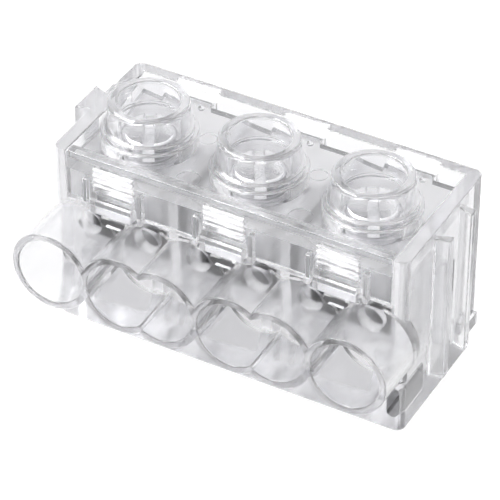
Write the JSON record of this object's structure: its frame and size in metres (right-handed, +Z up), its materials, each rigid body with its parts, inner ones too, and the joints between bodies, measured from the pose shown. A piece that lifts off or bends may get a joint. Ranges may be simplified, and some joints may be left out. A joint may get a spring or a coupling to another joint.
{
  "type": "terminal strip",
  "caption": "Clear moulded terminal strip with a row of round wire tubes in front, screwdriver towers on top, and slotted screws that press saddle plates onto the wires.",
  "frame": {"origin": "on the surface it stands on, under the middle of its bounding box", "axes": "+X along the row of poles, +Y from the wire tubes to the back wall, +Z up through the towers"},
  "size_m": [0.0408, 0.0222, 0.0238],
  "materials": {
    "clear_housing": "clear, polished mould finish",
    "clear_cover": "clear, polished mould finish",
    "cage_metal": "nickel plated",
    "saddle_metal": "zinc plated",
    "screw_metal": "zinc plated, turned"
  },
  "bodies": {
    "strip": {"housing": "clear_housing", "cover": "clear_cover", "clamp_cage_1": "cage_metal", "clamp_cage_2": "cage_metal", "clamp_cage_3": "cage_metal"},
    "saddle_1": {"saddle_plate_1": "saddle_metal"},
    "screw_1": {"screw_1": "screw_metal"},
    "saddle_2": {"saddle_plate_2": "saddle_metal"},
    "screw_2": {"screw_2": "screw_metal"},
    "saddle_3": {"saddle_plate_3": "saddle_metal"},
    "screw_3": {"screw_3": "screw_metal"}
  },
  "joints": [
    {"name": "saddle_1_slide", "type": "slide", "parent": "strip", "child": "saddle_1", "axis": [0, 0, 1], "range_m": [-0.0042, 0]},
    {"name": "screw_1_turn", "type": "hinge", "parent": "saddle_1", "child": "screw_1", "pos_m": [-0.012, 0.00155, 0.0206], "axis": [0, 0, 1], "range_deg": [-2160, 0]},
    {"name": "saddle_2_slide", "type": "slide", "parent": "strip", "child": "saddle_2", "axis": [0, 0, 1], "range_m": [-0.0042, 0]},
    {"name": "screw_2_turn", "type": "hinge", "parent": "saddle_2", "child": "screw_2", "pos_m": [0, 0.00155, 0.0206], "axis": [0, 0, 1], "range_deg": [-2160, 0]},
    {"name": "saddle_3_slide", "type": "slide", "parent": "strip", "child": "saddle_3", "axis": [0, 0, 1], "range_m": [-0.0042, 0]},
    {"name": "screw_3_turn", "type": "hinge", "parent": "saddle_3", "child": "screw_3", "pos_m": [0.012, 0.00155, 0.0206], "axis": [0, 0, 1], "range_deg": [-2160, 0]}
  ],
  "couplings": [
    {"joint": "screw_1_turn", "follows": "saddle_1_slide", "rad_per_m": 8976},
    {"joint": "screw_2_turn", "follows": "saddle_2_slide", "rad_per_m": 8976},
    {"joint": "screw_3_turn", "follows": "saddle_3_slide", "rad_per_m": 8976}
  ]
}
